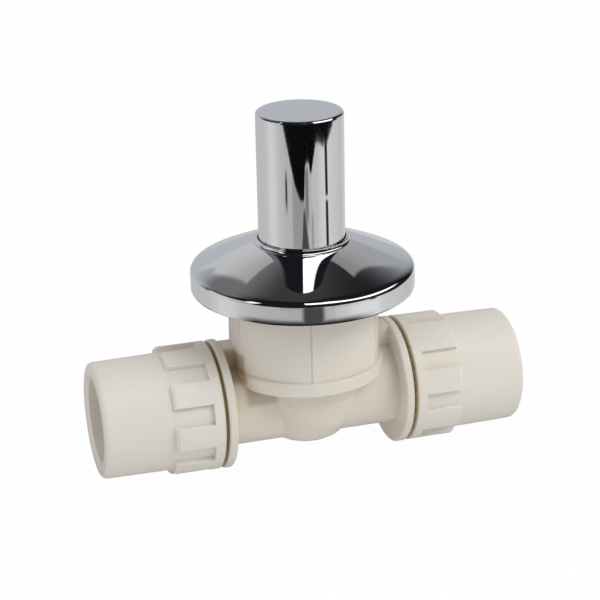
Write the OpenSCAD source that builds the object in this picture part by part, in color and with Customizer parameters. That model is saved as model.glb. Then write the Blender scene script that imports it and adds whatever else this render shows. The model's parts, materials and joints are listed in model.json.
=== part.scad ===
// Concealed stop valve for multilayer pipe, in millimetres.
// The pipe run lies along X, the spindle stands along Z, and both cross at the origin.
// The plastic body is buried in the wall. The rosette and the handle stay in front of it.

/* [Node] */
// Which piece to draw

/* [Pipe run] */
// Outer radius of the run tube between the flanges
run_r = 13.7; // [12.5:0.1:15]
// Gap between the collar ring and the inner face of each flange
collar_room = 2.5; // [1.5:0.1:5]
// Thickness of each flange
flange_t = 2.6; // [2:0.1:4]
// Radius of each flange
flange_r = 20.4; // [19:0.1:22]
// Wall left between the ring grooves of a spigot and the waterway
spigot_wall = 0.45; // [0.4:0.05:1.5]

/* [Pipe connection] */
// Outer radius of the pipe that is pushed in
pipe_r = 13; // [12.5:0.1:13.5]
// Wall of that pipe
pipe_wall = 3; // [2:0.1:3.5]
// Room round the pipe in the nut mouth and in the socket
pipe_play = 0.3; // [0.1:0.05:0.5]
// Wall of the threaded socket round the pipe
socket_wall = 3.1; // [2.5:0.1:3.4]
// Length of the threaded socket past its flange
socket_len = 15; // [12:0.5:16]
// Length of the inner spigot past its flange
spigot_len = 26.9; // [24:0.1:27]
// Thickness of the rubber rings on the spigot
ring_d = 2; // [1.6:0.1:2.4]
// Distance from the spigot tip to the first ring groove
ring_from_tip = 4.2; // [3:0.1:6]
// Distance between the two ring grooves
ring_pitch = 5; // [4:0.1:6]
// How far a ring stands out past its spigot
ring_squeeze = 0.25; // [0.1:0.05:0.4]

/* [Union nuts] */
// Open gap between a flange and its nut
nut_gap = 1.16; // [1:0.02:1.6]
// Length of a nut
nut_len = 37.1; // [36.5:0.1:42]
// Height of the grip band and of the grip tabs
tab_h = 1.63; // [1:0.01:3]
// Length of the grip band next to the gap
band_len = 3.2; // [2:0.1:5]
// Length of the grip tabs past the band
tab_len = 12.4; // [9:0.1:16]
// Number of grip tabs round a nut
tab_count = 9; // [6:1:12]
// Share of each step that a tab fills
tab_share = 0.54; // [0.4:0.01:0.6]
// Wall of a nut round the thread of the socket
nut_wall = 2.21; // [2:0.01:3]
// How much the radius of a nut draws in towards its mouth
nut_taper = 0.44; // [0:0.01:1]
// Rounding at the mouth of a nut
nut_round = 1.5; // [0.8:0.1:2]
// Angle of the first tab of the left nut
tab_start_left = 24.7; // [0:0.1:40]
// Angle of the first tab of the right nut
tab_start_right = 5.4; // [0:0.1:40]
// Number of small teeth on the face of a nut that looks at the flange
tooth_count = 32; // [16:4:36]
// How far those teeth stand out
tooth_h = 0.3; // [0.2:0.05:0.6]
// How far they stand back from the edge of the grip band
tooth_back = 1.4; // [0.4:0.1:2]
// Running clearance between the socket and its nut
nut_play = 0.06; // [0.02:0.01:0.1]

/* [Grip rings] */
// Length of a split grip ring
grip_len = 10.4; // [8:0.1:11]
// Length of its straight shoulder
grip_shoulder = 2.6; // [2:0.1:4]
// Wall of a grip ring at its thin end
grip_thin = 1.6; // [1.2:0.1:2.2]
// Width of the split
grip_split = 2.4; // [1:0.1:4]
// Distance from the end of the socket to the grip ring
grip_room = 1.5; // [1.2:0.1:2.5]

/* [Valve body] */
// How far the collar ring stands out past the edges of the tower
collar_step = 0.6; // [0.3:0.1:1.5]
// Height of the underside of the collar ring
collar_low = 8.5; // [7.5:0.1:9.5]
// Height of the top of the collar ring
collar_top = 13; // [12:0.1:14]
// Wall of the tower round its brass insert, at the middle of each of the six curved sides
tower_wall = 5.1; // [4.5:0.1:6]
// How far its six soft edges stand out past those sides
tower_edge = 0.8; // [0.5:0.05:1.2]
// Turn of the tower sides about the spindle
tower_turn = -11.5; // [-30:0.5:30]
// Height of the top of the tower
tower_top = 37.5; // [36.8:0.1:38.5]
// How far the bowl draws in towards the flat under it
bowl_round = 8.3; // [7:0.1:10]
// Depth of the bowl below the pipe axis
bowl_depth = 13.2; // [12.8:0.1:13.5]
// Wall of the bowl round the valve chamber
bowl_wall = 2.5; // [2:0.1:4]
// Thickness of the floor of the bowl
bowl_floor = 3.4; // [2:0.1:4]
// Thickness of the webs between the tower and the flanges
web_t = 6; // [3:0.5:8]
// Height of the top of the webs
web_top = 20; // [18:0.1:20.2]

/* [Waterway inside] */
// Room round the headwork in the valve chamber
chamber_room = 0.1; // [0.05:0.05:0.5]
// Wall of the inlet nozzle round the seat
nozzle_wall = 2.6; // [2.2:0.1:4]
// How far the nozzle stands out past the washer
nozzle_over = 0.4; // [0.2:0.1:0.6]
// Height of the steel seat ring below the top of the nozzle
seat_ring_h = 3; // [2:0.1:4]
// Height of the sealing edge of the seat
seat_z = 5.4; // [5:0.1:6]
// Lift of the valve plug from closed to open
lift = 5; // [4:0.1:6]
// Gap between the closed washer and the seat
closed_gap = 0.05; // [0.02:0.01:0.1]

/* [Headwork] */
// Radius of the thread of the headwork
bonnet_r = 15.5; // [15:0.1:15.6]
// Height of the lower end of the headwork
bonnet_low = 13.4; // [13.1:0.1:14]
// Distance from that end up to the thread
thread_from = 4.4; // [4:0.1:6]
// Thickness of its flange
bonnet_flange_t = 2.2; // [1.8:0.1:3]
// Thickness of its rubber ring
bonnet_ring_d = 2.3; // [1.8:0.1:2.6]
// Wall between the groove of that ring and the cup of the plug
bonnet_wall = 2.6; // [1.5:0.1:4]
// Wall of the brass insert round its thread
insert_wall = 3; // [2:0.1:4]
// Depth of the brass insert below the top of the tower
insert_depth = 4.5; // [3.5:0.1:6]
// Room between the corners of the spanner hexagon and the sleeve of the rosette
hex_room = 0.7; // [0.4:0.1:3]
// Height of that hexagon
bonnet_hex_h = 5.8; // [4:0.1:7]
// How far its neck stands out above the sleeve of the rosette
neck_out = 1.6; // [0.5:0.1:1.8]
// Outer radius of its neck
neck_r = 9.8; // [8.5:0.1:11]
// Radius of the spindle in the neck
spindle_r = 5.4; // [4.6:0.1:5.8]
// Thickness of the two rubber rings of the spindle
spindle_ring_d = 1.8; // [1.5:0.1:2]
// Radius of the left hand thread of the spindle
screw_r = 4.4; // [3.8:0.1:4.8]
// Across flats size of the sliding hexagon of the plug
plug_af = 15; // [14:0.1:15.4]
// Height of the cup of the plug
plug_cup_h = 4; // [3.5:0.1:5]
// Room round the cup of the plug
plug_room = 0.6; // [0.2:0.1:1]
// Thickness of the rubber washer
washer_t = 2.4; // [2:0.1:3]
// Running clearance of turning and sliding parts
run_play = 0.06; // [0.02:0.01:0.1]

/* [Rosette and handle] */
// Radius of the rosette
rosette_r = 35; // [32:0.5:40]
// How far the back rim of the rosette, and the wall face, lie below the top of the tower
wall_drop = 1.14; // [0.5:0.01:3]
// Height of the straight rim of the rosette
rim_h = 5.9; // [5:0.1:6.4]
// Wall of the rosette
sheet = 1.2; // [1:0.05:1.3]
// Rounding of the lower edge of the rim
rim_round = 0.7; // [0.3:0.05:0.8]
// How strongly its bell is curved, where 1 is a plain cone
bell_curve = 1.15; // [1:0.01:1.4]
// Height of the lip of the rosette above its sleeve
lip_up = 5.15; // [4.5:0.05:6]
// Wall of the lip of the rosette
lip_wall = 0.7; // [0.5:0.05:1.2]
// Gap between the lip and the handle
lip_gap = 0.27; // [0.2:0.01:0.4]
// Outer radius of the handle
handle_r = 13.48; // [12:0.1:13.7]
// Height of the top of the handle
handle_top = 92.7; // [85:0.1:100]
// Wall of the handle
handle_wall = 1.2; // [1:0.1:2]
// Rounding of the top edge of the handle
handle_round = 1; // [0.5:0.1:2]
// Height of the sleeve that carries the rosette, above the top of the tower
sleeve_h = 10.1; // [8:0.1:12]
// Wall of that sleeve
sleeve_wall = 1.6; // [1.2:0.1:2.4]
// How far it stands back from the pocket of the brass insert
sleeve_back = 0.6; // [0.3:0.1:1.5]
// Thickness of its rubber ring
sleeve_ring_d = 2; // [1.6:0.1:2.4]
// Room between that sleeve and the skirt of the rosette
skirt_room = 0.55; // [0.4:0.05:0.8]
// Size across flats of the square end of the spindle
square_af = 7; // [6:0.1:7.4]
// Wall of the hub of the handle round that square
hub_wall = 2; // [1.5:0.1:3]
// Thickness of the two plates of the hub
plate_t = 1.5; // [1:0.1:2.5]
// Size of the square rubber ring in the upper plate
grip_ring_d = 1.2; // [0.8:0.1:1.6]

/* [Hidden] */
$fn = 96;
e = 0.01;
// the turned parts about the spindle, from the thread of the headwork outwards
chamber_r = bonnet_r + chamber_room;
bowl_mid_r = chamber_r + bowl_wall;
bowl_flat_r = bowl_mid_r - bowl_round;
chamber_low = bowl_floor - bowl_depth;
plug_r = bonnet_r - bonnet_ring_d - bonnet_wall - plug_room;
insert_r = bonnet_r + insert_wall;
tower_r = insert_r + tower_wall;
tower_edge_r = tower_r + tower_edge;
collar_r = tower_edge_r + collar_step;
flange_in = collar_r + collar_room;
flange_out = flange_in + flange_t;
socket_in_r = pipe_r + pipe_play;
socket_r = socket_in_r + socket_wall;
socket_end = flange_out + socket_len;
pipe_stop = flange_out + 4;
spigot_r = pipe_r - pipe_wall - 0.2;
spigot_end = flange_out + spigot_len;
ring_groove_r = spigot_r + ring_squeeze - ring_d;
water_r = ring_groove_r - spigot_wall;
ring_outer_x = spigot_end - ring_from_tip;
ring_inner_x = ring_outer_x - ring_pitch;
nut_x = flange_out + nut_gap;
nut_end = nut_x + nut_len;
tab_end = nut_x + band_len + tab_len;
nut_bore_r = socket_r + nut_play;
nut_r = nut_bore_r + nut_wall;
nut_end_r = nut_r - nut_taper;
grip_r = nut_r + tab_h;
grip_x = socket_end + grip_room;
grip_end = grip_x + grip_len;
grip_in_r = pipe_r + 0.05;
cone_x = grip_x + grip_shoulder;
mouth_x = grip_end + 0.4;
washer_r = plug_r - 1;
nozzle_r = washer_r + nozzle_over;
nozzle_top = seat_z - 0.8;
seat_r = nozzle_r - nozzle_wall;
seat_out_r = nozzle_r - 1;
washer_low = seat_z + closed_gap;
washer_top = washer_low + washer_t;
cup_low = washer_low + 0.9;
cup_top = cup_low + plug_cup_h;
plug_bore_low = cup_top + 2;
spindle_tip = plug_bore_low + lift + 0.1;
plug_top = spindle_tip + 7;
shoulder_z = plug_top + lift + 3.4;
spindle_collar_low = shoulder_z - 2;
spindle_collar_r = plug_af/2 - 0.1;
insert_low = bonnet_low + thread_from;
insert_top = tower_top - insert_depth;
bonnet_flange_top = insert_top + bonnet_flange_t;
bonnet_hex_top = bonnet_flange_top + bonnet_hex_h;
bonnet_ring_z = bonnet_low + 1.05 + bonnet_ring_d/2;
carrier_top = tower_top + sleeve_h;
carrier_r = insert_r - sleeve_back;
carrier_in_r = carrier_r - sleeve_wall;
carrier_flange_top = tower_top + 1.2;
bonnet_af = 2*(carrier_in_r - hex_room)*cos(30);
neck_top = carrier_top + neck_out;
clip_z = neck_top + 0.2;
skirt_in_r = carrier_r + skirt_room;
o_ring_k = sleeve_ring_d/2;
o_ring_z = carrier_top - 1.4 - o_ring_k;
wall_z = tower_top - wall_drop;
lip_z = carrier_top + lip_up;
lip_in_r = handle_r + lip_gap;
lip_r = lip_in_r + lip_wall;
handle_low = carrier_top + 1.9;
bell_low_r = rosette_r - 2.4;
bell_low_z = wall_z + rim_h + 2.3;
bell_top_r = lip_r + 1.15;
bell_top_z = lip_z - 1.44;
bell_drop = sheet*sqrt(1 + pow((bell_top_z - bell_low_z)/(bell_low_r - bell_top_r), 2));
insert_hub_low = neck_top + 2.4;
square_top = insert_hub_low + 11;
hub_r = square_af/2*sqrt(2) + hub_wall;
hub_out_r = handle_r - handle_wall;
lobe_r = lobe_radius(tower_edge_r, tower_r);

// radius of a curved side that passes through two edges and bulges to the middle radius
function lobe_radius(edge, mid) = let (s = mid - edge*cos(30), c = edge/2) (c*c + s*s)/(2*s);

// height of the bell of the rosette at this radius
function bell_z(r) = bell_top_z - (bell_top_z - bell_low_z)
    *pow(max(0, (r - bell_top_r)/(bell_low_r - bell_top_r)), bell_curve);

// points down the bell, closer together towards its neck
function bell(n = 14) = [for (i = [0:n]) let (r = bell_top_r + (bell_low_r - bell_top_r)*pow(i/n, 1.6)) [r, bell_z(r)]];

// points of a rounded outer corner, as radius and height pairs
function corner(r, z, k, n = 4) = [for (i = [0:n]) [r - k + k*cos(90*i/n), z - k + k*sin(90*i/n)]];

// turned piece about the Z axis, from radius and height pairs
module turned(p) rotate_extrude() polygon(p);

// turned piece about the X axis, from radius and length pairs
module turned_x(p) rotate([0, 90, 0]) rotate_extrude() polygon(p);

// tube or bar along X
module bar_x(r, x0, x1) translate([x0, 0, 0]) rotate([0, 90, 0]) cylinder(r = r, h = x1 - x0);

module bar_z(r, z0, z1) translate([0, 0, z0]) cylinder(r = r, h = z1 - z0);

module hex_z(af, z0, z1) translate([0, 0, z0]) cylinder(r = af/2/cos(30), h = z1 - z0, $fn = 6);

// round rubber ring about the Z axis
module rubber_z(mid_r, d, z) translate([0, 0, z]) rotate_extrude()
    translate([mid_r, 0]) circle(d = d, $fn = 24);

module cream() color([0.85, 0.82, 0.78]) children();
module brass() color([0.78, 0.63, 0.35]) children();
module chrome() color([0.75, 0.77, 0.8]) children();
module rubber() color([0.1, 0.1, 0.1]) children();
module steel() color([0.6, 0.6, 0.62]) children();
module plain() color([0.35, 0.35, 0.36]) children();

// one half of the outside of the body, on the +X side
module body_side() {
    bar_x(run_r, 0, flange_in + e);
    turned_x([[0, flange_in], [flange_r - 0.4, flange_in], [flange_r, flange_in + 0.4],
              [flange_r, flange_out - 0.4], [flange_r - 0.4, flange_out], [0, flange_out]]);
    // plain stretch behind the thread, then the threaded socket with its lead in
    turned_x([[0, flange_out - e], [socket_r, flange_out - e], [socket_r, socket_end - 0.8],
              [socket_r - 0.8, socket_end], [0, socket_end]]);
    // web from the tower to the flange
    translate([0, -web_t/2, 0]) cube([flange_in + e, web_t, web_top]);
}

// room for the pipe end between the socket and the spigot
module body_side_cut() {
    difference() {
        bar_x(socket_in_r, pipe_stop, socket_end + 1);
        bar_x(spigot_r, pipe_stop - 1, socket_end + 2);
    }
    turned_x([[socket_in_r - e, socket_end - 0.8], [socket_in_r + 0.8, socket_end + e],
              [socket_in_r - e, socket_end + e]]);
}

module spigot() {
    difference() {
        turned_x([[water_r - e, pipe_stop - 1], [spigot_r, pipe_stop - 1], [spigot_r, spigot_end - 1.2],
                  [spigot_r - 0.6, spigot_end], [water_r - e, spigot_end]]);
        for (x = [ring_inner_x, ring_outer_x]) difference() {
            bar_x(spigot_r + 1, x - ring_d/2 - 0.1, x + ring_d/2 + 0.1);
            bar_x(ring_groove_r, x - ring_d, x + ring_d);
        }
        bar_x(water_r, pipe_stop - 2, spigot_end + 1);
    }
}

// tower with six curved sides, which meet in fine upright lines
module tower() {
    difference() {
        translate([0, 0, collar_top - e]) linear_extrude(tower_top - collar_top + e)
            intersection_for (i = [0:5]) rotate(-90 + tower_turn + 30 + 60*i)
                translate([tower_r - lobe_r, 0]) circle(r = lobe_r);
        for (i = [0:5]) rotate(-90 + tower_turn + 60*i)
            translate([tower_edge_r, 0, (collar_top + tower_top)/2 + 0.2]) rotate(45)
                cube([0.75, 0.75, tower_top - collar_top + e], center = true);
    }
}

module valve_body() cream() difference() {
    union() {
        body_side();
        rotate([0, 0, 180]) body_side();
        // bowl of the valve chamber
        turned([[0, -bowl_depth], [bowl_flat_r, -bowl_depth], [bowl_flat_r + 1.9, -bowl_depth + 1.2],
                [bowl_mid_r - 4.8, -bowl_depth + 2.9], [bowl_mid_r - 3.2, -bowl_depth + 5.1],
                [bowl_mid_r - 1.9, -bowl_depth + 7.4], [bowl_mid_r - 0.8, -bowl_depth + 10.3],
                [bowl_mid_r, 0], [bowl_mid_r + 0.3, 2.5], [bowl_mid_r + 0.3, collar_low + e],
                [0, collar_low + e]]);
        // collar ring
        turned([[0, collar_low], [collar_r - 0.5, collar_low], [collar_r, collar_low + 0.5],
                [collar_r, collar_top - 0.5], [collar_r - 0.5, collar_top], [0, collar_top]]);
        tower();
        // spigots
        spigot();
        rotate([0, 0, 180]) spigot();
    }
    body_side_cut();
    rotate([0, 0, 180]) body_side_cut();
    // valve chamber round the inlet nozzle
    difference() {
        turned([[0, chamber_low], [chamber_r - 6, chamber_low], [chamber_r - 3.2, chamber_low + 3.3],
                [chamber_r - 1.6, chamber_low + 6.8], [chamber_r - 0.4, 1], [chamber_r, 4],
                [chamber_r, insert_low + e], [0, insert_low + e]]);
        bar_z(nozzle_r, chamber_low - 1, nozzle_top);
        translate([-chamber_r - 2, -nozzle_r, chamber_low - 1])
            cube([chamber_r + 2, 2*nozzle_r, nozzle_top - chamber_low + 1]);
    }
    // inlet, the low passage under the seat and the way up through the nozzle
    bar_x(water_r, -spigot_end - 1, -chamber_r - 2);
    translate([-chamber_r - 3, -seat_r + 0.4, -6.4]) cube([chamber_r + 3, 2*seat_r - 0.8, nozzle_top + 5]);
    bar_z(seat_r, -6.6, nozzle_top + 1);
    bar_z(seat_out_r, nozzle_top - seat_ring_h, nozzle_top + 1);
    // outlet from the chamber
    bar_x(water_r, nozzle_r + 1.6, spigot_end + 1);
    // pocket of the brass insert and the open top of the tower
    translate([0, 0, insert_low]) cylinder(r = insert_r/cos(22.5), h = insert_top - insert_low, $fn = 8);
    bar_z(insert_r, insert_top - e, tower_top + 1);
}

module threaded_insert() brass() difference() {
    translate([0, 0, insert_low]) cylinder(r = insert_r/cos(22.5), h = insert_top - insert_low, $fn = 8);
    bar_z(bonnet_r + run_play, insert_low - 1, insert_top + 1);
    turned([[bonnet_r, insert_top - 0.8], [bonnet_r + 0.9, insert_top + e], [bonnet_r, insert_top + e]]);
}

module seat_ring() steel() turned([[seat_r, nozzle_top - seat_ring_h], [seat_out_r, nozzle_top - seat_ring_h],
    [seat_out_r, nozzle_top], [seat_r + 1.1, nozzle_top], [seat_r + 0.7, seat_z], [seat_r, seat_z]]);

module headwork_bonnet() brass() difference() {
    union() {
        turned([[0, bonnet_low], [bonnet_r - 0.6, bonnet_low], [bonnet_r, bonnet_low + 0.6],
                [bonnet_r, insert_top], [insert_r - 0.5, insert_top], [insert_r - 0.5, bonnet_flange_top],
                [neck_r, bonnet_flange_top], [neck_r, neck_top - 0.6], [neck_r - 0.6, neck_top],
                [0, neck_top]]);
        hex_z(bonnet_af, bonnet_flange_top - e, bonnet_hex_top);
    }
    // groove of the sealing ring
    difference() {
        bar_z(bonnet_r + 1, bonnet_low + 1, bonnet_low + 1.1 + bonnet_ring_d);
        bar_z(bonnet_r - bonnet_ring_d, bonnet_low, bonnet_low + bonnet_ring_d + 2);
    }
    hex_z(plug_af + 2*run_play, bonnet_low - 1, shoulder_z);
    // room for the cup of the open plug
    bar_z(plug_r + plug_room, bonnet_low - 1, cup_top + lift + 0.4);
    bar_z(spindle_r + run_play, shoulder_z - 1, neck_top + 1);
}

module bonnet_o_ring() rubber() rubber_z(bonnet_r + 0.05 - bonnet_ring_d/2, bonnet_ring_d, bonnet_ring_z);

module thrust_washer() plain() turned([[spindle_r + 0.1, shoulder_z - 0.75],
    [spindle_collar_r, shoulder_z - 0.75], [spindle_collar_r, shoulder_z], [spindle_r + 0.1, shoulder_z]]);

module spindle() brass() difference() {
    union() {
        turned([[0, spindle_tip], [screw_r - 0.5, spindle_tip], [screw_r, spindle_tip + 0.5],
                [screw_r, spindle_collar_low], [spindle_collar_r, spindle_collar_low],
                [spindle_collar_r, shoulder_z - 0.8], [spindle_r, shoulder_z - 0.8],
                [spindle_r, clip_z + 1.4], [spindle_r - 0.5, clip_z + 1.9], [0, clip_z + 1.9]]);
        translate([-square_af/2, -square_af/2, clip_z]) cube([square_af, square_af, square_top - clip_z]);
    }
    for (z = [shoulder_z + 3, shoulder_z + 7]) difference() {
        bar_z(spindle_r + 1, z - spindle_ring_d/2 - 0.1, z + spindle_ring_d/2 + 0.1);
        bar_z(spindle_r - spindle_ring_d - 0.05, z - spindle_ring_d, z + spindle_ring_d);
    }
    difference() {
        bar_z(spindle_r + 1, clip_z - 0.05, clip_z + 1.05);
        bar_z(spindle_r - 0.9, clip_z - 1, clip_z + 2);
    }
}

module spindle_ring(z) rubber() rubber_z(spindle_r - 0.05 - spindle_ring_d/2, spindle_ring_d, z);
module spindle_o_ring_lower() spindle_ring(shoulder_z + 3);
module spindle_o_ring_upper() spindle_ring(shoulder_z + 7);

module spindle_clip() steel() difference() {
    bar_z(spindle_r + 1.5, clip_z, clip_z + 1);
    bar_z(spindle_r - 0.85, clip_z - 1, clip_z + 2);
    translate([0, -spindle_r*0.55, clip_z - 1]) cube([spindle_r + 3, spindle_r*1.1, 3]);
}

module valve_plug() brass() difference() {
    union() {
        turned([[0, cup_low], [plug_r - 0.4, cup_low], [plug_r, cup_low + 0.4], [plug_r, cup_top - 0.8],
                [plug_r - 0.8, cup_top], [0, cup_top]]);
        hex_z(plug_af, cup_top - e, plug_top);
    }
    bar_z(washer_r + 0.05, cup_low - 1, washer_top);
    bar_z(screw_r + run_play, plug_bore_low, plug_top + 1);
    bar_z(1.65, washer_top - 1, washer_top + 3.2);
}

module seat_washer() rubber() difference() {
    bar_z(washer_r, washer_low, washer_top);
    bar_z(2, washer_low - 1, washer_top + 1);
}

module washer_screw() brass() difference() {
    turned([[0, washer_low - 1.6], [3.2, washer_low - 1.6], [3.6, washer_low - 1.2], [3.6, washer_low],
            [1.6, washer_low], [1.6, washer_top + 3], [0, washer_top + 3]]);
    translate([-5, -0.4, washer_low - 2]) cube([10, 0.8, 1.2]);
}

module rosette_carrier() plain() difference() {
    turned([[carrier_in_r, bonnet_flange_top], [insert_r - 0.05, bonnet_flange_top],
            [insert_r - 0.05, tower_top], [insert_r + 1, tower_top], [insert_r + 1, carrier_flange_top], [carrier_r, carrier_flange_top],
            [carrier_r, carrier_top - 0.6], [carrier_r - 0.6, carrier_top], [carrier_in_r, carrier_top]]);
    difference() {
        bar_z(carrier_r + 1, o_ring_z - o_ring_k - 0.1, o_ring_z + o_ring_k + 0.1);
        bar_z(carrier_r - o_ring_k, o_ring_z - 2*o_ring_k, o_ring_z + 2*o_ring_k);
    }
}

// rubber ring with a narrow lip that rubs on the skirt, from one half of its outline
module rosette_o_ring() rubber() {
    half = [[-o_ring_k, 0.6], [-o_ring_k/2, 1], [0, 0.9], [skirt_room - 0.06, 0.3]];
    turned(concat([for (p = half) [carrier_r + p[0], o_ring_z - o_ring_k*p[1]]],
                  [for (i = [3:-1:0]) [carrier_r + half[i][0], o_ring_z + o_ring_k*half[i][1]]]));
}

// pressed bell with a straight rim, a rounded shoulder, a gentle curve up to the neck and a small lip
module rosette() chrome() {
    outside = bell();
    turned(concat([[rosette_r - sheet, wall_z]],
        [for (a = [90:-18:0]) [rosette_r - rim_round*(1 - cos(a)), wall_z + rim_round*(1 - sin(a))]],
        [[rosette_r, wall_z + rim_h],
         [rosette_r - 0.2, wall_z + rim_h + 0.75], [rosette_r - 0.7, wall_z + rim_h + 1.35],
         [rosette_r - 1.5, wall_z + rim_h + 1.88]],
        [for (i = [len(outside) - 1:-1:0]) outside[i]],
        // hollow corner up to the lip, and the round top of the lip
        [for (a = [18:18:72]) [bell_top_r - 1.15*sin(a), bell_top_z + 1.1*(1 - cos(a))]],
        [[lip_r, lip_z - 0.3], [lip_r - 0.1, lip_z - 0.1], [lip_r - 0.3, lip_z],
         [lip_in_r + 0.2, lip_z], [lip_in_r, lip_z - 0.2], [lip_in_r, bell_top_z - 0.6]],
        [for (q = outside) [q[0], q[1] - bell_drop]],
        [[rosette_r - sheet - 0.4, wall_z + rim_h + 0.4], [rosette_r - sheet, wall_z + rim_h - 0.4]]));
    // skirt that slides on the sleeve, up into the wall of the bell
    turned([[skirt_in_r, carrier_flange_top + 0.4], [skirt_in_r + sheet, carrier_flange_top + 0.4],
            [skirt_in_r + sheet, bell_z(skirt_in_r + sheet) - 0.6*bell_drop],
            [skirt_in_r, bell_z(skirt_in_r) - 0.6*bell_drop]]);
}

// hub that fits the square of the spindle and carries the handle
module handle_insert() plain() difference() {
    union() {
        bar_z(hub_r, insert_hub_low, square_top + plate_t);
        bar_z(hub_out_r, square_top - 2*plate_t, square_top + plate_t);
        bar_z(hub_out_r, insert_hub_low, insert_hub_low + plate_t);
        for (i = [0:3]) rotate(45 + 90*i) translate([0, -0.8, insert_hub_low])
            cube([hub_out_r - 1, 1.6, square_top - insert_hub_low]);
    }
    translate([-square_af/2 - 0.05, -square_af/2 - 0.05, insert_hub_low - 1])
        cube([square_af + 0.1, square_af + 0.1, square_top - insert_hub_low + 1.05]);
    // groove of the friction ring
    difference() {
        bar_z(handle_r, square_top - 0.4 - grip_ring_d, square_top + 0.2);
        bar_z(hub_out_r - grip_ring_d, square_top - 1 - grip_ring_d, square_top + 1);
    }
}

module handle_ring() rubber() turned([[hub_out_r - grip_ring_d, square_top - 0.3 - grip_ring_d],
    [hub_out_r, square_top - grip_ring_d], [hub_out_r, square_top - 0.2],
    [hub_out_r - grip_ring_d, square_top + 0.1]]);

module handle_cap() chrome() difference() {
    turned(concat([[0, handle_low]], [[handle_r - 0.3, handle_low], [handle_r, handle_low + 0.3]],
                  corner(handle_r, handle_top, handle_round), [[0, handle_top]]));
    bar_z(handle_r - handle_wall, handle_low - 1, handle_top - handle_wall);
}

// one grip ring, built on the +X side
module grip_ring() plain() difference() {
    turned_x([[grip_in_r, grip_x + 0.5], [grip_in_r + 0.5, grip_x], [socket_r - 0.6, grip_x],
              [socket_r - 0.1, grip_x + 0.5], [socket_r - 0.1, cone_x], [grip_in_r + grip_thin, grip_end],
              [grip_in_r + 0.3, grip_end], [grip_in_r, grip_end - 0.3]]);
    translate([grip_x - 1, -grip_split/2, 0]) cube([grip_len + 2, grip_split, socket_r + 1]);
    // shallow grooves that leave the biting edges
    for (i = [1:4]) difference() {
        bar_x(grip_in_r + 0.4, grip_x + i*grip_len/5 - 0.7, grip_x + i*grip_len/5 + 0.7);
        bar_x(grip_in_r - 1, grip_x, grip_end);
    }
}

// radius of the plain cone of a nut at this distance along its axis
function nut_cone(x) = nut_r + (nut_end_r - nut_r)*(x - nut_x - band_len)/(nut_len - band_len - nut_round);

// one recess between two grip tabs, cut down almost to the plain cone of the nut
module grip_recess(a, w) rotate([a + 90, 0, 0]) rotate([0, 90, 0]) rotate_extrude(angle = w)
    polygon([[nut_cone(nut_x + band_len) + 0.06, nut_x + band_len], [grip_r + 1, nut_x + band_len],
             [grip_r + 1, tab_end + 1], [nut_cone(tab_end + 1) + 0.06, tab_end + 1]]);

// one union nut, built on the +X side, with its first tab at this angle
module union_nut(first) cream() difference() {
    union() {
        turned_x(concat([[nut_bore_r - 1, nut_x], [grip_r - 0.35, nut_x], [grip_r, nut_x + 0.35],
                         [grip_r, tab_end - 1], [grip_r - 0.5, tab_end - 0.3], [nut_cone(tab_end), tab_end]],
                        corner(nut_end_r, nut_end, nut_round),
                        [[pipe_r - 1, nut_end], [pipe_r - 1, nut_x + 8]]));
        for (i = [0:tooth_count - 1]) rotate([(i + 0.5)*360/tooth_count, 0, 0])
            translate([nut_x - tooth_h, grip_r - tooth_back - 1.2, -0.4]) cube([tooth_h + 0.5, 1.2, 0.8]);
    }
    for (i = [0:tab_count - 1])
        grip_recess(first + (i + tab_share)*360/tab_count, (1 - tab_share)*360/tab_count);
    // inside: thread, cone for the grip ring and mouth for the pipe
    bar_x(nut_bore_r, nut_x - 1, cone_x);
    turned_x([[0, cone_x - e], [nut_bore_r, cone_x - e], [nut_bore_r, cone_x],
              [grip_in_r + grip_thin + 0.16, grip_end + 0.1], [grip_in_r + grip_thin + 0.16, mouth_x],
              [0, mouth_x]]);
    bar_x(socket_in_r, mouth_x - 1, nut_end + 1);
    turned_x([[socket_in_r - e, nut_end - 0.9], [socket_in_r + 0.9, nut_end + e],
              [socket_in_r - e, nut_end + e]]);
}

module spigot_ring(x) rubber() rotate([0, 90, 0]) rubber_z(ring_groove_r + ring_d/2, ring_d, x);

valve_body();
threaded_insert();
seat_ring();
headwork_bonnet();
bonnet_o_ring();
thrust_washer();
spindle();
spindle_o_ring_lower();
spindle_o_ring_upper();
spindle_clip();
valve_plug();
seat_washer();
washer_screw();
rosette_carrier();
rosette_o_ring();
rosette();
handle_insert();
handle_ring();
handle_cap();
rotate([0, 0, 180]) union_nut(tab_start_left);  // union_nut_left
union_nut(180 - tab_start_right - tab_share*360/tab_count);  // union_nut_right
rotate([0, 0, 180]) grip_ring();  // grip_ring_left
grip_ring();  // grip_ring_right
spigot_ring(-ring_inner_x);  // spigot_ring_left_inner
spigot_ring(-ring_outer_x);  // spigot_ring_left_outer
spigot_ring(ring_inner_x);  // spigot_ring_right_inner
spigot_ring(ring_outer_x);  // spigot_ring_right_outer
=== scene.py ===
# %% [markdown]
# # A concealed stop valve, dressed for its picture
#
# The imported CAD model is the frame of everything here: each solid keeps its size and its place.
# This lesson loads it, sets up the camera and the studio, and then gives every piece the surface
# of the real one: ivory moulded plastic for what is buried in the wall, and polished chrome for
# the rosette and the handle that stay in front of it.

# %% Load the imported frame
import json
import math

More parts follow.
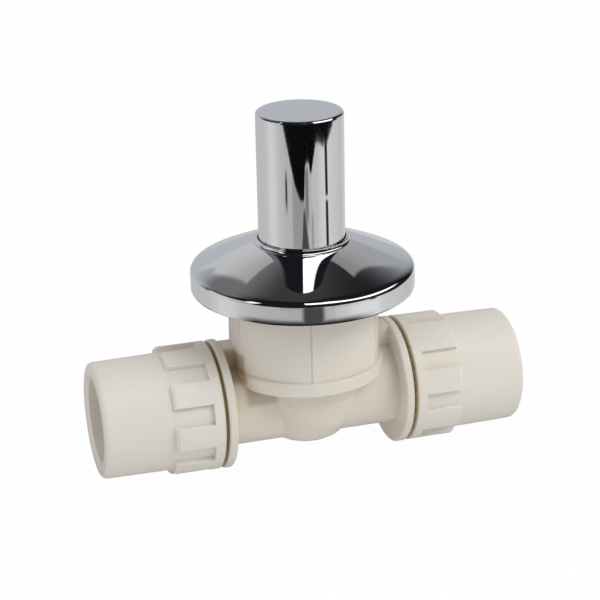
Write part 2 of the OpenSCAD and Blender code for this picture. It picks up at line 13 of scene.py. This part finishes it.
import bmesh
import bpy
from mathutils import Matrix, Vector


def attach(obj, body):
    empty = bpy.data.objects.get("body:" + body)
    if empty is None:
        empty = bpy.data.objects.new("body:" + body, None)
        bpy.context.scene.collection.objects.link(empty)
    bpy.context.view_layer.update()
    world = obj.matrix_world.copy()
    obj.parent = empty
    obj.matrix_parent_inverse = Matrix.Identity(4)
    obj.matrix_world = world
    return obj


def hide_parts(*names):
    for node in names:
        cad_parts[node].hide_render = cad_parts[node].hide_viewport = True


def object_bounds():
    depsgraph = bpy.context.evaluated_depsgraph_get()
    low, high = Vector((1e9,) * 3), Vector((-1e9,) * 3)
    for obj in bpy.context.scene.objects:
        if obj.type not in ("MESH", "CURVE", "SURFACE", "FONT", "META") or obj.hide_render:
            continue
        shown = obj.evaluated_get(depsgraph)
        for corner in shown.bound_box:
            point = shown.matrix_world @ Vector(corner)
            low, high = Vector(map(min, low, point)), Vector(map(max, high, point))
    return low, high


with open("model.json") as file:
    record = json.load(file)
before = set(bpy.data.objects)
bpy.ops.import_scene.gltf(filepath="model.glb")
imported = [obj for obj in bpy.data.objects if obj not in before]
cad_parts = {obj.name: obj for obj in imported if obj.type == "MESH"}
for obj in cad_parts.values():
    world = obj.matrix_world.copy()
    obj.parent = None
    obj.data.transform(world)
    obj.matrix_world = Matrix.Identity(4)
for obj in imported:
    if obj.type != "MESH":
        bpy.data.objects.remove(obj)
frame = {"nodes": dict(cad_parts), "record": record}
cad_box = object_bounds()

print("nodes:", len(frame["nodes"]))

# %% [markdown]
# ## The camera
#
# The place of the camera was found by fitting circles of the valve to their edges in the picture.
# It stands half a metre away, a little to the left and above, with a long lens that fills a
# square picture. A small roll about the line of sight makes up for the tilt of the original.

# %% Camera
CAMERA_AT = Vector((-0.15343, -0.50494, 0.23832))
LOOK_AT = Vector((-0.00099, 0.0, 0.03131))
FOCAL_SHARE = 1804.9 / 600.0     # focal length over the width of the picture
ROLL = math.radians(1.135)

camera_data = bpy.data.cameras.new("picture_camera")
camera_data.sensor_width = 36.0
camera_data.lens = FOCAL_SHARE * camera_data.sensor_width
camera_data.clip_start = 0.01
camera = bpy.data.objects.new("picture_camera", camera_data)
bpy.context.scene.collection.objects.link(camera)
sight = (LOOK_AT - CAMERA_AT).normalized()
right = sight.cross(Vector((0, 0, 1))).normalized()
up = right.cross(sight)
rolled_right = math.cos(-ROLL) * right + math.sin(-ROLL) * up
rolled_up = -math.sin(-ROLL) * right + math.cos(-ROLL) * up
for row in range(3):
    for column, axis in enumerate((rolled_right, rolled_up, -sight)):
        camera.matrix_world[row][column] = axis[row]
    camera.matrix_world[row][3] = CAMERA_AT[row]
bpy.context.scene.camera = camera
bpy.context.scene.view_settings.view_transform = "Standard"
print("camera distance:", round((LOOK_AT - CAMERA_AT).length, 3))

# %% [markdown]
# ## Shader maths in plain expressions
#
# Building a material from nodes by hand means many lines of links. A small class wraps one output
# socket, so that `1 - mask * 0.3` adds the Math nodes by itself. Any other node comes from the
# `Kit.node` method, which sets the node's own settings first and then its inputs.

# %% Socket arithmetic
class Sock:
    """One output socket that can be used in sums."""

    def __init__(self, kit, socket):
        self.kit, self.socket = kit, socket

    def _math(self, operation, a, b=None, clamp=False):
        return self.kit.node("ShaderNodeMath", {"operation": operation, "use_clamp": clamp},
                             {0: a} if b is None else {0: a, 1: b})

    def __add__(self, other): return self._math("ADD", self, other)
    def __radd__(self, other): return self._math("ADD", other, self)
    def __sub__(self, other): return self._math("SUBTRACT", self, other)
    def __rsub__(self, other): return self._math("SUBTRACT", other, self)
    def __mul__(self, other): return self._math("MULTIPLY", self, other)
    def __rmul__(self, other): return self._math("MULTIPLY", other, self)
    def __truediv__(self, other): return self._math("DIVIDE", self, other)
    def __rtruediv__(self, other): return self._math("DIVIDE", other, self)
    def __neg__(self): return self._math("MULTIPLY", self, -1.0)
    def __gt__(self, other): return self._math("GREATER_THAN", self, other)
    def __lt__(self, other): return self._math("LESS_THAN", self, other)
    def abs(self): return self._math("ABSOLUTE", self)
    def clamp(self): return self._math("ADD", self, 0.0, clamp=True)
    def least(self, other): return self._math("MINIMUM", self, other)
    def most(self, other): return self._math("MAXIMUM", self, other)
    def atan2(self, other): return self._math("ARCTAN2", self, other)
    def power(self, other): return self._math("POWER", self, other)
    def cosine(self): return self._math("COSINE", self)

    def ramp(self, low, high):
        """0 at low and below, 1 at high and above, with a soft start and end."""
        return self.kit.node("ShaderNodeMapRange", {"interpolation_type": "SMOOTHSTEP"},
                             {"Value": self, "From Min": low, "From Max": high})


class Kit:
    """Adds nodes to one node tree."""

    def __init__(self, tree):
        self.tree = tree
        tree.nodes.clear()

    def link(self, target, value):
        if isinstance(value, Sock):
            self.tree.links.new(value.socket, target)
        else:
            target.default_value = value

    def node(self, kind, settings=None, inputs=None, out=0):
        made = self.tree.nodes.new(kind)
        for key, value in (settings or {}).items():
            setattr(made, key, value)
        for key, value in (inputs or {}).items():
            self.link(made.inputs[key], value)
        return Sock(self, made.outputs[out])

    def colour_mix(self, share, a, b, blend="MIX"):
        """a where share is 0 and b where it is 1."""
        made = self.tree.nodes.new("ShaderNodeMix")
        made.data_type, made.blend_type = "RGBA", blend
        self.link(made.inputs[0], share)
        self.link(made.inputs[6], a if isinstance(a, Sock) else (*a, 1.0))
        self.link(made.inputs[7], b if isinstance(b, Sock) else (*b, 1.0))
        return Sock(self, made.outputs[2])

    def curve(self, value, points):
        """Reads the value off a smooth line drawn through these points."""
        low = [min(p[i] for p in points) for i in (0, 1)]
        span = [max(p[i] for p in points) - low[i] for i in (0, 1)]
        made = self.tree.nodes.new("ShaderNodeFloatCurve")
        made.mapping.extend = "HORIZONTAL"
        line = made.mapping.curves[0]
        spots = [((a - low[0]) / span[0], (b - low[1]) / span[1]) for a, b in points]
        line.points[0].location, line.points[1].location = spots[0], spots[-1]
        for spot in spots[1:-1]:
            line.points.new(*spot)
        for point in line.points:
            point.handle_type = "AUTO_CLAMPED"
        made.mapping.update()
        self.link(made.inputs["Value"], (value - low[0]) / span[0])
        return Sock(self, made.outputs[0]) * span[1] + low[1]

    def place(self):
        return self.node("ShaderNodeTexCoord", out="Object")

    def grey(self, value):
        return self.node("ShaderNodeCombineColor", {}, {0: value, 1: value, 2: value})

    def noise(self, where, scale, detail=3.0, rough=0.5, out="Fac"):
        return self.node("ShaderNodeTexNoise", {"noise_dimensions": "3D"},
                         {"Vector": where, "Scale": scale, "Detail": detail, "Roughness": rough}, out=out)

    def stretched(self, where, scale):
        """The same place with each axis scaled."""
        return self.node("ShaderNodeMapping", {"vector_type": "POINT"}, {"Vector": where, "Scale": scale})

    def split(self, where):
        made = self.tree.nodes.new("ShaderNodeSeparateXYZ")
        self.link(made.inputs[0], where)
        return [Sock(self, made.outputs[i]) for i in range(3)]

    def bump(self, height, strength, distance):
        return self.node("ShaderNodeBump", {}, {"Height": height, "Strength": strength, "Distance": distance},
                         out="Normal")


def within(value, low, high, soft):
    """1 between low and high, falling to 0 over a soft width outside them."""
    return (value - low).ramp(-soft, 0.0) * (1 - (value - high).ramp(0.0, soft))


def new_material(name):
    material = bpy.data.materials.new(name)
    material.use_nodes = True
    return material, Kit(material.node_tree)


def finish_material(kit, inputs):
    """Ends a material in one Principled shader with these inputs."""
    shader = kit.node("ShaderNodeBsdfPrincipled", {}, inputs)
    output = kit.tree.nodes.new("ShaderNodeOutputMaterial")
    kit.tree.links.new(shader.socket, output.inputs["Surface"])


print("shader kit ready")

# %% [markdown]
# ## The studio
#
# Chrome has no colour of its own: it shows the room. The real room can be read back from the
# chrome: a sheet of white paper under the valve that ends in front of it, a pale backdrop, a dark
# ceiling, and one large soft light on the right. The floor and the world are painted that way
# for glossy rays only, so the chrome finds them, while the camera sees a plain pale floor.

# %% Floor
FLOOR_Z = cad_box[0][2] - 0.0001
bpy.ops.mesh.primitive_plane_add(size=6.0, location=(0, 0, 0))
floor = bpy.context.object
floor.name = "floor"
floor.location = (0, 0, FLOOR_Z)

material, kit = new_material("pale_floor")
spot = kit.place()
x, y, _ = kit.split(spot)
reach = (x * x + y * y).power(0.5)
turn = x.atan2(-y) * (180 / math.pi)      # 0 straight in front, positive to the right
# how far the paper reaches in each direction, in mm, before the dark room begins
PAPER_END = [(-62, 412), (-60, 402), (-55, 382), (-50, 363), (-45, 345), (-40, 329), (-35, 313), (-30, 299),
             (-25, 289), (-20, 283), (-15, 280), (-10, 280), (-8.5, 290), (-7, 315), (-5, 333), (-2, 339),
             (2, 340), (5, 334), (8, 322), (11, 325), (14, 336), (18, 352), (21, 364), (26, 372), (32, 371),
             (38, 367), (44, 364), (48, 371), (52, 372), (56, 369), (62, 378), (70, 391), (77, 403), (80, 412)]
# painted light: how brightly lit the white paper shows in each direction
PAPER_TONE = [(-180, 0.52), (-127, 0.54), (-107, 0.61), (-98, 0.66), (-79, 0.57), (-60, 0.49), (-41, 0.46),
              (-23, 0.44), (5, 0.47), (15, 0.56), (24, 0.62), (34, 0.71), (52, 0.76), (62, 0.64), (90, 0.58),
              (110, 0.54), (135, 0.62), (180, 0.52)]
far = reach * 1000.0
dark_room = (far - kit.curve(turn, PAPER_END)).ramp(-3.0, 5.0) * (1 - turn.abs().ramp(84.0, 100.0))
# the paper's tone is a little darker close to the valve on the right
tone = kit.curve(turn, PAPER_TONE) * (1 - far.ramp(195.0, 215.0) * turn.ramp(8.0, 25.0) * (1 - turn.ramp(50.0, 65.0)) * 0.14)
# painted shadows on the paper, cast by the valve and the things around it and shown in the chrome: broad, faint,
# the two lines, the streak, the shade and the one underneath
post = far.most(215.0) - 215.0            # the broad soft shadow narrows with the distance
broad_shadow = 1 - ((turn + 7.5 + post * 0.035).abs() - (9.6 - post * 0.14)).ramp(-2.5, 3.0)
broad_shadow = broad_shadow * (1 - far.ramp(262.0, 284.0)) * 0.86
faint_shadow = (1 - (turn - 12.0).abs().ramp(1.0, 4.5)) * far.ramp(205.0, 225.0) * (1 - far.ramp(250.0, 275.0)) * 0.35
left_line_shadow = (1 - (turn + 54.5).abs().ramp(1.2, 4.0)) * far.ramp(255.0, 285.0) * (1 - far.ramp(305.0, 340.0)) * 0.92
right_line_shadow = (1 - (turn - 52.5 + (far - 280.0) * 0.012).abs().ramp(2.4, 5.6)) * far.ramp(200.0, 214.0) * 0.97
right_line_shadow = right_line_shadow * (far - 281.5).abs().ramp(1.5, 5.0)
shadow_underneath = (1 - far.ramp(148.0, 170.0)) * 0.97 * (turn + 84.0).ramp(0.0, 24.0) * (1 - turn.ramp(25.0, 62.0))
shadow_underneath = shadow_underneath.most(1 - far.ramp(100.0, 140.0))
streak_shadow = within(turn, -4.5, 0.5, 3.5) * far.ramp(235.0, 262.0) * (1 - far.ramp(325.0, 338.0)) * 0.55
shade = within(turn, -37.0, -12.0, 3.5) * far.ramp(200.0, 225.0) * 0.28
dark = dark_room.most(broad_shadow).most(streak_shadow).most(shade).most(faint_shadow).most(left_line_shadow).most(right_line_shadow).most(shadow_underneath)
# for glossy rays the paper glows with its painted tone, its painted shadows and the dark room
sheen_colour = kit.colour_mix(dark, kit.grey(tone), (0.003, 0.003, 0.004))
seen = kit.node("ShaderNodeLightPath", out="Is Camera Ray")
mirrored = kit.node("ShaderNodeLightPath", out="Is Glossy Ray")
paper = kit.node("ShaderNodeBsdfDiffuse", {}, {"Color": (0.9, 0.9, 0.9, 1)})
glow = kit.node("ShaderNodeEmission", {}, {"Color": (1, 1, 1, 1), "Strength": 1.0})
shown = kit.node("ShaderNodeEmission", {}, {"Color": sheen_colour, "Strength": 1.0})
# painted bounce light: the paper glows almost fully for the camera and at half strength for other rays, which
# lights the valve from below
seen_mix = kit.node("ShaderNodeMixShader", {}, {0: seen * 0.47 + 0.50, 1: paper, 2: glow})
whole = kit.node("ShaderNodeMixShader", {}, {0: mirrored, 1: seen_mix, 2: shown})
output = kit.tree.nodes.new("ShaderNodeOutputMaterial")
kit.tree.links.new(whole.socket, output.inputs["Surface"])
floor.data.materials.append(material)
print("floor at", round(FLOOR_Z, 4))

# %% World
world = bpy.data.worlds.new("studio")
bpy.context.scene.world = world
world.use_nodes = True
kit = Kit(world.node_tree)
way = kit.node("ShaderNodeTexCoord", out="Generated")
x, y, z = kit.split(way)
height = z.atan2((x * x + y * y).power(0.5)) * (180 / math.pi)
turn = x.atan2(-y) * (180 / math.pi)
# the dark room, paler towards the backdrop behind the valve
backdrop = 1 - height.ramp(14.0, 56.0)
behind = (turn.abs()).ramp(120.0, 150.0)
room = kit.colour_mix(backdrop * behind, (0.010, 0.010, 0.012), (0.47, 0.49, 0.52))
room = kit.colour_mix(height.ramp(40.0, 60.0) * behind, room, (0.040, 0.041, 0.042))
# the light panel behind it, which shows in the bell on both sides of the handle
around = turn + 360.0 * (turn < -90.0)      # 180 straight behind the valve
panel_right = kit.curve(height, [(14, 142), (20, 140), (32, 136.5), (40, 135), (52, 133)])
panel_left = kit.curve(height, [(14, 185), (27, 188), (30, 190), (42, 193.5), (52, 195)])
panel = (around - panel_right).ramp(-0.6, 0.6) * (1 - (around - panel_left).ramp(-0.6, 0.6))
panel = panel * (1 - height.ramp(51.5, 53.0)) * height.ramp(16.0, 20.0)
panel_tone = kit.curve(height, [(15, 0.55), (25, 0.58), (40, 0.52), (46, 0.44), (54, 0.38)])
panel_tone = panel_tone * kit.curve(around, [(130, 0.60), (150, 0.66), (158, 0.70), (164, 0.72), (169, 0.86), (176, 0.95), (196, 0.93)])
beside = (around - 170.0).ramp(0.0, 18.0) * (1 - (around - 236.0).ramp(0.0, 20.0)) * (1 - height.ramp(50.0, 68.0))
room = kit.colour_mix(beside * height.ramp(30.0, 40.0), room, (0.16, 0.16, 0.165))
low_side = within(turn, -122.0, -70.0, 5.0) * (1 - height.ramp(20.0, 27.0))
room = kit.colour_mix(low_side, room, (0.56, 0.565, 0.57))
room = kit.colour_mix(panel, room, kit.grey(panel_tone))
# the large soft light in front on the right, which leans to the right, and two small ones on the left
key_left = kit.curve(height, [(28, 62), (35, 52), (42, 40), (50, 20), (54.5, -14), (74, -14)])
key_right = kit.curve(height, [(28, 108), (35, 104), (45, 86), (55, 62), (60, 55), (67, 48), (74, 44)])
key_card = (turn - key_left).ramp(-1.0, 1.0) * (1 - (turn - key_right).ramp(-4.0, 4.0))
key_card = key_card * height.ramp(28.0, 31.0) * (1 - height.ramp(72.0, 74.0))
side_card = (1 - (turn + 73.0).abs().ramp(5.0, 8.0)) * height.ramp(24.0, 27.0) * (1 - height.ramp(42.0, 46.0))
room = kit.colour_mix(key_card.most(side_card), room, (1.5, 1.5, 1.5))
glossy = kit.node("ShaderNodeLightPath", out="Is Glossy Ray")
seen = kit.node("ShaderNodeLightPath", out="Is Camera Ray")
soft = kit.colour_mix(height.ramp(10.0, 75.0), (0.37, 0.37, 0.375), (0.78, 0.78, 0.78))
plain = kit.colour_mix(seen, soft, (1.0, 1.0, 1.0))
sky = kit.colour_mix(glossy, plain, room)
back = kit.node("ShaderNodeBackground", {}, {"Color": sky, "Strength": 1.0})
output = kit.tree.nodes.new("ShaderNodeOutputWorld")
kit.tree.links.new(back.socket, output.inputs["Surface"])
print("world ready")


# %% Lamps
def soft_lamp(name, at, size, power):
    """A square soft light that looks at the middle of the valve and isn't seen in the chrome."""
    data = bpy.data.lights.new(name, "AREA")
    data.energy, data.size = power, size
    lamp = bpy.data.objects.new(name, data)
    bpy.context.scene.collection.objects.link(lamp)
    lamp.location = at
    lamp.rotation_euler = (Vector((0, 0, 0.02)) - Vector(at)).to_track_quat("-Z", "Y").to_euler()
    lamp.visible_glossy = False
    return lamp


soft_lamp("key_light", (0.58, -0.66, 0.95), 0.6, 6.0)
soft_lamp("right_light", (1.05, -0.50, 0.45), 0.6, 1.8)
soft_lamp("left_light", (-1.05, -0.15, 0.50), 0.7, 2.0)
print("lamps:", 3)


# %% [markdown]
# ## Ivory moulded plastic
#
# The body and the nuts are moulded in a warm white plastic with a satin skin. Up close such a
# skin is never even: the colour drifts a little with the flow of the melt, the gloss changes from
# place to place, and a very fine orange peel breaks up the highlights. The plastic is slightly
# translucent; the warm shade in its recesses and in the gap at the nuts is painted into its colour.

# %% Ivory plastic
def ivory(name, base, shade, rough, painted_shade):
    material, kit = new_material(name)
    spot = kit.place()
    drift = kit.noise(spot, 38.0, 3.0)
    cloud = kit.noise(spot, 160.0, 4.0, 0.6)
    grain = kit.noise(spot, 2600.0, 2.0)
    scuffs = kit.noise(kit.stretched(spot, (60.0, 240.0, 240.0)), 1.0, 5.0, 0.7)
    colour = kit.colour_mix(drift.ramp(0.3, 0.75), base, shade)
    smudge = scuffs.ramp(0.62, 0.78) * cloud.ramp(0.45, 0.7)
    colour = kit.colour_mix(smudge * 0.35, colour, (0.42, 0.39, 0.35))
    # painted shade: each share multiplies the colour with a warm, darker tint where the light bounces in recesses
    for share, tint in painted_shade(kit, kit.stretched(spot, (1000.0, 1000.0, 1000.0))):
        colour = kit.colour_mix(share, colour, tint, "MULTIPLY")
    finish_material(kit, {
        "Base Color": colour,
        "Roughness": rough + (cloud - 0.5) * 0.16,
        "IOR": 1.46,
        "Normal": kit.bump(grain + cloud * 0.6, 0.35, 0.00004),
    })
    return material


def body_painted_shade(kit, spot):
    """Painted shade and warm bounce light in the places between tower, webs and flanges where the light bounces
    many times, in mm.
    """
    x, y, z = kit.split(spot)
    along, about = x.abs(), (y * y + z * z).power(0.5)
    corner = (1 - about.ramp(17.5, 21.0)) * z.ramp(-6.0, 6.0)
    left_corner = within(x, -30.0, -24.0, 6.0) * corner
    flange_faces = within(along, 30.0, 31.0, 0.3) * (1 - about.ramp(19.0, 20.3))
    # painted shadow in the pocket between tower and flange, on the left only
    left_pocket = within(x, -27.2, -22.6, 0.8) * within(z, 11.0, 18.0, 2.0) * within(y, -11.5, -2.0, 2.5)
    under_collar = within(x, -21.5, -14.0, 2.0) * within(z, 4.6, 9.0, 2.2) * (1 - about.ramp(14.5, 16.5))
    return [(left_corner, (1.0, 0.96, 0.87)), (flange_faces, (1.0, 0.96, 0.88)),
            (left_pocket * 0.9, (0.62, 0.55, 0.45)), (under_collar * 0.8, (0.72, 0.66, 0.56))]


def nut_painted_shade(kit, spot):
    """Painted warm shade in the narrow gap between a nut and the flange of the body, in mm."""
    x, _, _ = kit.split(spot)
    return [((1 - x.abs().ramp(31.2, 31.9)), (0.84, 0.74, 0.58))]


body_plastic = ivory("ivory_body", (0.760, 0.714, 0.634), (0.735, 0.684, 0.598), 0.36, body_painted_shade)
nut_plastic = ivory("ivory_nut", (0.775, 0.735, 0.664), (0.750, 0.705, 0.628), 0.40, nut_painted_shade)
print("ivory plastics:", body_plastic.name, nut_plastic.name)


# %% [markdown]
# ## Polished chrome
#
# Plating over polished brass or zinc: almost a mirror, a touch blue, with a haze that changes
# slowly where fingers and a cloth have been, and hairlines too fine to see one by one.

# %% Chrome
def chrome(name):
    material, kit = new_material(name)
    spot = kit.place()
    haze = kit.noise(spot, 55.0, 4.0, 0.55)
    hair = kit.noise(kit.stretched(spot, (900.0, 900.0, 60.0)), 1.0, 3.0)
    finish_material(kit, {
        "Base Color": kit.colour_mix(haze.ramp(0.3, 0.8), (0.905, 0.915, 0.935), (0.875, 0.885, 0.905)),
        "Metallic": 1.0,
        "Roughness": 0.028 + haze.ramp(0.45, 0.85) * 0.04 + hair.ramp(0.6, 0.9) * 0.015,
        "Normal": kit.bump(haze, 0.03, 0.0003),
    })
    return material


mirror_chrome = chrome("chrome")
print("chrome:", mirror_chrome.name)


# %% [markdown]
# ## The metals, rubbers and plastics inside
#
# These show at the gaps and when the pieces move apart: turned brass with fine rings of tool
# marks, steel, black rubber with a dusty bloom, and moulded plastics for the hidden sleeves.

# %% Inner materials
def turned_metal(name, base, stain, rough, axis_scale):
    material, kit = new_material(name)
    spot = kit.place()
    marks = kit.noise(kit.stretched(spot, axis_scale), 1.0, 4.0, 0.6)
    patina = kit.noise(spot, 120.0, 4.0, 0.6)
    finish_material(kit, {
        "Base Color": kit.colour_mix(patina.ramp(0.35, 0.8) * 0.6, base, stain),
        "Metallic": 1.0,
        "Roughness": rough + (marks - 0.5) * 0.22 + patina * 0.08,
        "Normal": kit.bump(marks, 0.3, 0.00003),
    })
    return material


def matt_polymer(name, base, dust, rough, grain_size):
    material, kit = new_material(name)
    spot = kit.place()
    grain = kit.noise(spot, grain_size, 3.0)
    bloom = kit.noise(spot, 90.0, 4.0, 0.6)
    finish_material(kit, {
        "Base Color": kit.colour_mix(bloom.ramp(0.4, 0.8) * 0.5, base, dust),
        "Roughness": rough + (bloom - 0.5) * 0.2,
        "Normal": kit.bump(grain, 0.4, 0.00004),
    })
    return material


finishes = {
    "ivory_body": body_plastic,
    "ivory_nut": nut_plastic,
    "chrome": mirror_chrome,
    "brass": turned_metal("turned_brass", (0.72, 0.52, 0.24), (0.55, 0.36, 0.15), 0.28, (40.0, 40.0, 3000.0)),
    "steel": turned_metal("plain_steel", (0.60, 0.60, 0.62), (0.45, 0.45, 0.46), 0.30, (60.0, 60.0, 2500.0)),
    "rubber": matt_polymer("black_rubber", (0.025, 0.025, 0.026), (0.06, 0.058, 0.055), 0.62, 1800.0),
    "grey_plastic": matt_polymer("grey_moulding", (0.16, 0.16, 0.17), (0.21, 0.21, 0.215), 0.5, 2200.0),
    "white_plastic": matt_polymer("white_moulding", (0.74, 0.73, 0.70), (0.66, 0.645, 0.61), 0.45, 2200.0),
}
slot_of = {part["node"]: part["material_slot"] for part in frame["record"]["subparts"]}
for name, node in frame["nodes"].items():
    for index in range(len(node.material_slots)):
        node.material_slots[index].material = finishes[slot_of[name]]
    if not node.material_slots:
        node.data.materials.append(finishes[slot_of[name]])
print("dressed nodes:", len(frame["nodes"]))

# %% [markdown]
# ## The rosette, pressed and polished
#
# On the bench the rosette is one pressed shell of brass, spun smooth and plated, so its bell shows
# the room without a single facet. The solid of the CAD model has a few flat steps that a mirror
# would give away. The same outline is therefore turned here again in fine steps, with its curves as
# true arcs: a rolled lower edge, a straight rim, a round shoulder, the bell and the small lip.

# %% Rosette
def arc(middle, radius, start, end, steps):
    """Points of an arc between two angles in degrees, from start to end."""
    return [(middle[0] + radius * math.cos(math.radians(start + (end - start) * i / steps)),
             middle[1] + radius * math.sin(math.radians(start + (end - start) * i / steps)))
            for i in range(steps + 1)]


def bezier(p, steps):
    """Points of a cubic curve with four control points, without its first one."""
    weights = [((1 - t) ** 3, 3 * t * (1 - t) ** 2, 3 * t * t * (1 - t), t ** 3)
               for t in (i / steps for i in range(1, steps + 1))]
    return [tuple(sum(w[k] * p[k][axis] for k in range(4)) for axis in (0, 1)) for w in weights]


def turned(outline, segments, grid):
    """Adds a closed outline of (radius, height) in mm, turned about the vertical axis."""
    rings = [[grid.verts.new((r * math.sin(2 * math.pi * k / segments) / 1000,
                              -r * math.cos(2 * math.pi * k / segments) / 1000, z / 1000))
              for k in range(segments)] for r, z in outline]
    for a, b in zip(rings, rings[1:] + rings[:1]):
        for k in range(segments):
            grid.faces.new((a[k], a[k - 1], b[k - 1], b[k]))


WALL_Z, RIM_R, WALL = 36.36, 35.0, 1.2
BELL_TOP, BELL_LOW, BELL_CURVE, BELL_WALL = (15.6, 51.31), (32.6, 44.56), 1.15, 1.29
SHOULDER_Z, LIP_IN, LIP_OUT, LIP_Z = 42.26, 13.75, 14.45, 52.75


def bell_height(r):
    share = max(0.0, (r - BELL_TOP[0]) / (BELL_LOW[0] - BELL_TOP[0]))
    return BELL_TOP[1] - (BELL_TOP[1] - BELL_LOW[1]) * share ** BELL_CURVE


steps = 64
bell = [(r, bell_height(r)) for r in (BELL_TOP[0] + (BELL_LOW[0] - BELL_TOP[0]) * (i / steps) ** 1.5
                                      for i in range(steps, -1, -1))]
shoulder = bezier([(RIM_R, SHOULDER_Z), (RIM_R, 43.35), (33.80, 44.01), BELL_LOW], 22)[:-1]
neck = [(BELL_TOP[0] - 1.15 * math.sin(a), BELL_TOP[1] + 1.1 * (1 - math.cos(a)))
        for a in (math.radians(5 * i) for i in range(1, 18))]
outline = [(RIM_R - WALL, WALL_Z)] + arc((RIM_R - 0.7, WALL_Z + 0.7), 0.7, -90, 0, 10)
outline += [(RIM_R, SHOULDER_Z)] + shoulder + bell + neck
outline += arc((LIP_OUT - 0.3, LIP_Z - 0.3), 0.3, 0, 90, 6) + arc((LIP_IN + 0.2, LIP_Z - 0.2), 0.2, 90, 180, 5)
outline += [(LIP_IN, 50.71)] + [(r, z - BELL_WALL) for r, z in reversed(bell)][::3]
outline += [(33.4, 42.66), (33.8, 41.86)]
skirt = [(18.45, 39.1), (19.65, 39.1), (19.65, bell_height(19.65) - 0.6 * BELL_WALL),
         (18.45, bell_height(18.45) - 0.6 * BELL_WALL)]
grid = bmesh.new()
turned(outline, 240, grid)
turned(skirt, 96, grid)
bmesh.ops.recalc_face_normals(grid, faces=grid.faces[:])
for edge in grid.edges:
    edge.smooth = edge.calc_face_angle(0.0) < math.radians(35)
for face in grid.faces:
    face.smooth = True
mesh = bpy.data.meshes.new("rosette_shell")
grid.to_mesh(mesh)
grid.free()
rosette_shell = bpy.data.objects.new("rosette_shell", mesh)
bpy.context.scene.collection.objects.link(rosette_shell)
rosette_shell.data.materials.append(mirror_chrome)
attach(rosette_shell, "rosette")
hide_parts("rosette")
print("rosette_shell:", len(mesh.polygons), "faces")

# %% Sizes and finish
print("box:", [round(b - a, 4) for a, b in zip(cad_box[0], cad_box[1])])
